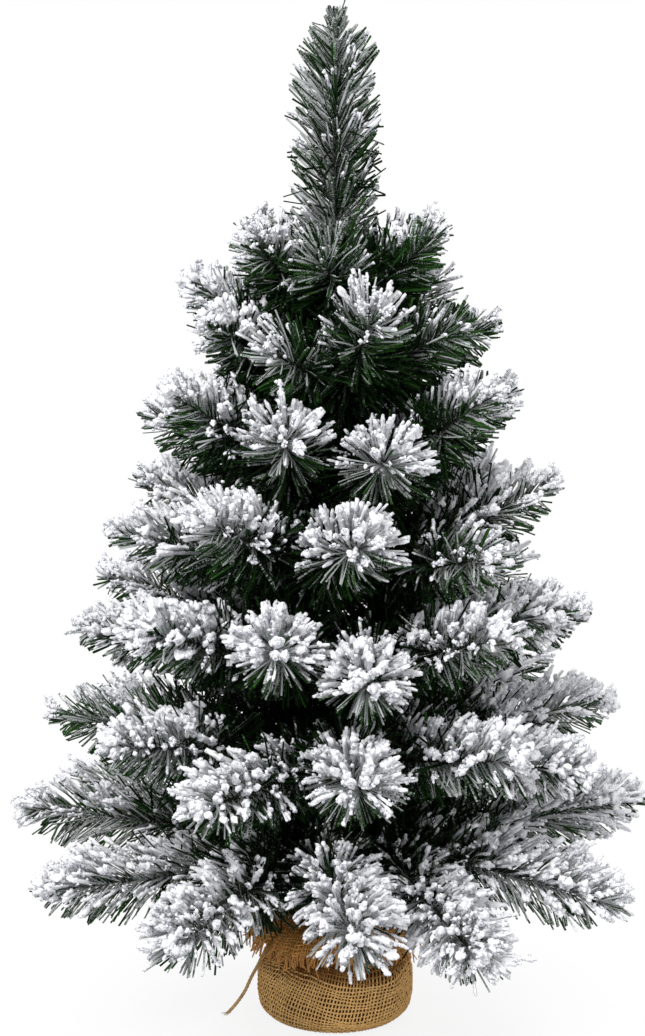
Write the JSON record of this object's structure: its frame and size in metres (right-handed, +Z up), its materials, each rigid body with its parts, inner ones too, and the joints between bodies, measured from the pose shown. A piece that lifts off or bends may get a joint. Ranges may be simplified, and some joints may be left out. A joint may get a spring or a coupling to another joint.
{
  "type": "artificial tabletop tree",
  "caption": "Snow-flocked artificial tabletop fir: forked wire branches with needle brushes fold on hinge hubs along a steel pole, in a weighted burlap base tied with twine.",
  "frame": {"origin": "middle of the base's underside, on the table", "axes": "+Z up along the pole; the pictured front faces -Y, with +X to its right"},
  "size_m": [0.362, 0.362, 0.6],
  "materials": {
    "pole_paint": "satin green paint",
    "stem_wire": "dull twisted wire",
    "hub_plastic": "moulded, matte",
    "pin_steel": "drawn wire",
    "needle_film": "cut film, flocked white",
    "cement": "cast, rough",
    "burlap": "coarse plain weave",
    "jute": "loose spun twine"
  },
  "bodies": {
    "trunk": {"trunk_pole": "pole_paint", "leader_wire": "stem_wire", "leader_needles": "needle_film", "four_way_hubs": "hub_plastic", "three_way_hubs": "hub_plastic", "hinge_pins": "pin_steel", "cement_weight": "cement", "burlap_wrap": "burlap", "twine_winding": "jute", "twine_tail": "jute"},
    "tier1_branch1": {"tier1_branch1_wires": "stem_wire", "tier1_branch1_needles": "needle_film"},
    "tier1_branch2": {"tier1_branch2_wires": "stem_wire", "tier1_branch2_needles": "needle_film"},
    "tier1_branch3": {"tier1_branch3_wires": "stem_wire", "tier1_branch3_needles": "needle_film"},
    "tier1_branch4": {"tier1_branch4_wires": "stem_wire", "tier1_branch4_needles": "needle_film"},
    "tier2_branch1": {"tier2_branch1_wires": "stem_wire", "tier2_branch1_needles": "needle_film"},
    "tier2_branch2": {"tier2_branch2_wires": "stem_wire", "tier2_branch2_needles": "needle_film"},
    "tier2_branch3": {"tier2_branch3_wires": "stem_wire", "tier2_branch3_needles": "needle_film"},
    "tier2_branch4": {"tier2_branch4_wires": "stem_wire", "tier2_branch4_needles": "needle_film"},
    "tier3_branch1": {"tier3_branch1_wires": "stem_wire", "tier3_branch1_needles": "needle_film"},
    "tier3_branch2": {"tier3_branch2_wires": "stem_wire", "tier3_branch2_needles": "needle_film"},
    "tier3_branch3": {"tier3_branch3_wires": "stem_wire", "tier3_branch3_needles": "needle_film"},
    "tier3_branch4": {"tier3_branch4_wires": "stem_wire", "tier3_branch4_needles": "needle_film"},
    "tier4_branch1": {"tier4_branch1_wires": "stem_wire", "tier4_branch1_needles": "needle_film"},
    "tier4_branch2": {"tier4_branch2_wires": "stem_wire", "tier4_branch2_needles": "needle_film"},
    "tier4_branch3": {"tier4_branch3_wires": "stem_wire", "tier4_branch3_needles": "needle_film"},
    "tier5_branch1": {"tier5_branch1_wires": "stem_wire", "tier5_branch1_needles": "needle_film"},
    "tier5_branch2": {"tier5_branch2_wires": "stem_wire", "tier5_branch2_needles": "needle_film"},
    "tier5_branch3": {"tier5_branch3_wires": "stem_wire", "tier5_branch3_needles": "needle_film"},
    "tier6_branch1": {"tier6_branch1_wires": "stem_wire", "tier6_branch1_needles": "needle_film"},
    "tier6_branch2": {"tier6_branch2_wires": "stem_wire", "tier6_branch2_needles": "needle_film"},
    "tier6_branch3": {"tier6_branch3_wires": "stem_wire", "tier6_branch3_needles": "needle_film"},
    "tier7_branch1": {"tier7_branch1_wires": "stem_wire", "tier7_branch1_needles": "needle_film"},
    "tier7_branch2": {"tier7_branch2_wires": "stem_wire", "tier7_branch2_needles": "needle_film"},
    "tier7_branch3": {"tier7_branch3_wires": "stem_wire", "tier7_branch3_needles": "needle_film"}
  },
  "joints": [
    {"name": "tier1_branch1_fold", "type": "hinge", "parent": "trunk", "child": "tier1_branch1", "pos_m": [0.00823, -0.00475, 0.11], "axis": [-0.5, -0.866, 0], "range_deg": [-15, 57], "deforming": ["tier1_branch1_needles"]},
    {"name": "tier1_branch2_fold", "type": "hinge", "parent": "trunk", "child": "tier1_branch2", "pos_m": [0.00475, 0.00823, 0.11], "axis": [0.866, -0.5, 0], "range_deg": [-15, 57], "deforming": ["tier1_branch2_needles"]},
    {"name": "tier1_branch3_fold", "type": "hinge", "parent": "trunk", "child": "tier1_branch3", "pos_m": [-0.00823, 0.00475, 0.11], "axis": [0.5, 0.866, 0], "range_deg": [-15, 57], "deforming": ["tier1_branch3_needles"]},
    {"name": "tier1_branch4_fold", "type": "hinge", "parent": "trunk", "child": "tier1_branch4", "pos_m": [-0.00475, -0.00823, 0.11], "axis": [-0.866, 0.5, 0], "range_deg": [-15, 57], "deforming": ["tier1_branch4_needles"]},
    {"name": "tier2_branch1_fold", "type": "hinge", "parent": "trunk", "child": "tier2_branch1", "pos_m": [0.00083, -0.00946, 0.162], "axis": [-0.9962, -0.0872, 0], "range_deg": [-15, 46], "deforming": ["tier2_branch1_needles"]},
    {"name": "tier2_branch2_fold", "type": "hinge", "parent": "trunk", "child": "tier2_branch2", "pos_m": [0.00946, 0.00083, 0.162], "axis": [0.0872, -0.9962, 0], "range_deg": [-15, 46], "deforming": ["tier2_branch2_needles"]},
    {"name": "tier2_branch3_fold", "type": "hinge", "parent": "trunk", "child": "tier2_branch3", "pos_m": [-0.00083, 0.00946, 0.162], "axis": [0.9962, 0.0872, 0], "range_deg": [-15, 46], "deforming": ["tier2_branch3_needles"]},
    {"name": "tier2_branch4_fold", "type": "hinge", "parent": "trunk", "child": "tier2_branch4", "pos_m": [-0.00946, -0.00083, 0.162], "axis": [-0.0872, 0.9962, 0], "range_deg": [-15, 46], "deforming": ["tier2_branch4_needles"]},
    {"name": "tier3_branch1_fold", "type": "hinge", "parent": "trunk", "child": "tier3_branch1", "pos_m": [0.00611, -0.00728, 0.214], "axis": [-0.766, -0.6428, 0], "range_deg": [-15, 37], "deforming": ["tier3_branch1_needles"]},
    {"name": "tier3_branch2_fold", "type": "hinge", "parent": "trunk", "child": "tier3_branch2", "pos_m": [0.00728, 0.00611, 0.214], "axis": [0.6428, -0.766, 0], "range_deg": [-15, 37], "deforming": ["tier3_branch2_needles"]},
    {"name": "tier3_branch3_fold", "type": "hinge", "parent": "trunk", "child": "tier3_branch3", "pos_m": [-0.00611, 0.00728, 0.214], "axis": [0.766, 0.6428, 0], "range_deg": [-15, 37], "deforming": ["tier3_branch3_needles"]},
    {"name": "tier3_branch4_fold", "type": "hinge", "parent": "trunk", "child": "tier3_branch4", "pos_m": [-0.00728, -0.00611, 0.214], "axis": [-0.6428, 0.766, 0], "range_deg": [-15, 37], "deforming": ["tier3_branch4_needles"]},
    {"name": "tier4_branch1_fold", "type": "hinge", "parent": "trunk", "child": "tier4_branch1", "pos_m": [0.00945, -0.00099, 0.266], "axis": [-0.1045, -0.9945, 0], "range_deg": [-15, 33], "deforming": ["tier4_branch1_needles"]},
    {"name": "tier4_branch2_fold", "type": "hinge", "parent": "trunk", "child": "tier4_branch2", "pos_m": [-0.00386, 0.00868, 0.266], "axis": [0.9135, 0.4067, 0], "range_deg": [-15, 33], "deforming": ["tier4_branch2_needles"]},
    {"name": "tier4_branch3_fold", "type": "hinge", "parent": "trunk", "child": "tier4_branch3", "pos_m": [-0.00558, -0.00769, 0.266], "axis": [-0.809, 0.5878, 0], "range_deg": [-15, 33], "deforming": ["tier4_branch3_needles"]},
    {"name": "tier5_branch1_fold", "type": "hinge", "parent": "trunk", "child": "tier5_branch1", "pos_m": [0.00797, -0.00517, 0.318], "axis": [-0.5446, -0.8387, 0], "range_deg": [-15, 28], "deforming": ["tier5_branch1_needles"]},
    {"name": "tier5_branch2_fold", "type": "hinge", "parent": "trunk", "child": "tier5_branch2", "pos_m": [0.0005, 0.00949, 0.318], "axis": [0.9986, -0.0523, 0], "range_deg": [-15, 28], "deforming": ["tier5_branch2_needles"]},
    {"name": "tier5_branch3_fold", "type": "hinge", "parent": "trunk", "child": "tier5_branch3", "pos_m": [-0.00847, -0.00431, 0.318], "axis": [-0.454, 0.891, 0], "range_deg": [-15, 28], "deforming": ["tier5_branch3_needles"]},
    {"name": "tier6_branch1_fold", "type": "hinge", "parent": "trunk", "child": "tier6_branch1", "pos_m": [0.00246, -0.00918, 0.37], "axis": [-0.9659, -0.2588, 0], "range_deg": [-15, 26], "deforming": ["tier6_branch1_needles"]},
    {"name": "tier6_branch2_fold", "type": "hinge", "parent": "trunk", "child": "tier6_branch2", "pos_m": [0.00672, 0.00672, 0.37], "axis": [0.7071, -0.7071, 0], "range_deg": [-15, 26], "deforming": ["tier6_branch2_needles"]},
    {"name": "tier6_branch3_fold", "type": "hinge", "parent": "trunk", "child": "tier6_branch3", "pos_m": [-0.00918, 0.00246, 0.37], "axis": [0.2588, 0.9659, 0], "range_deg": [-15, 26], "deforming": ["tier6_branch3_needles"]},
    {"name": "tier7_branch1_fold", "type": "hinge", "parent": "trunk", "child": "tier7_branch1", "pos_m": [0.00475, -0.00823, 0.422], "axis": [-0.866, -0.5, 0], "range_deg": [-15, 18], "deforming": ["tier7_branch1_needles"]},
    {"name": "tier7_branch2_fold", "type": "hinge", "parent": "trunk", "child": "tier7_branch2", "pos_m": [0.00475, 0.00823, 0.422], "axis": [0.866, -0.5, 0], "range_deg": [-15, 18], "deforming": ["tier7_branch2_needles"]},
    {"name": "tier7_branch3_fold", "type": "hinge", "parent": "trunk", "child": "tier7_branch3", "pos_m": [-0.0095, 0, 0.422], "axis": [0, 1, 0], "range_deg": [-15, 18], "deforming": ["tier7_branch3_needles"]}
  ]
}
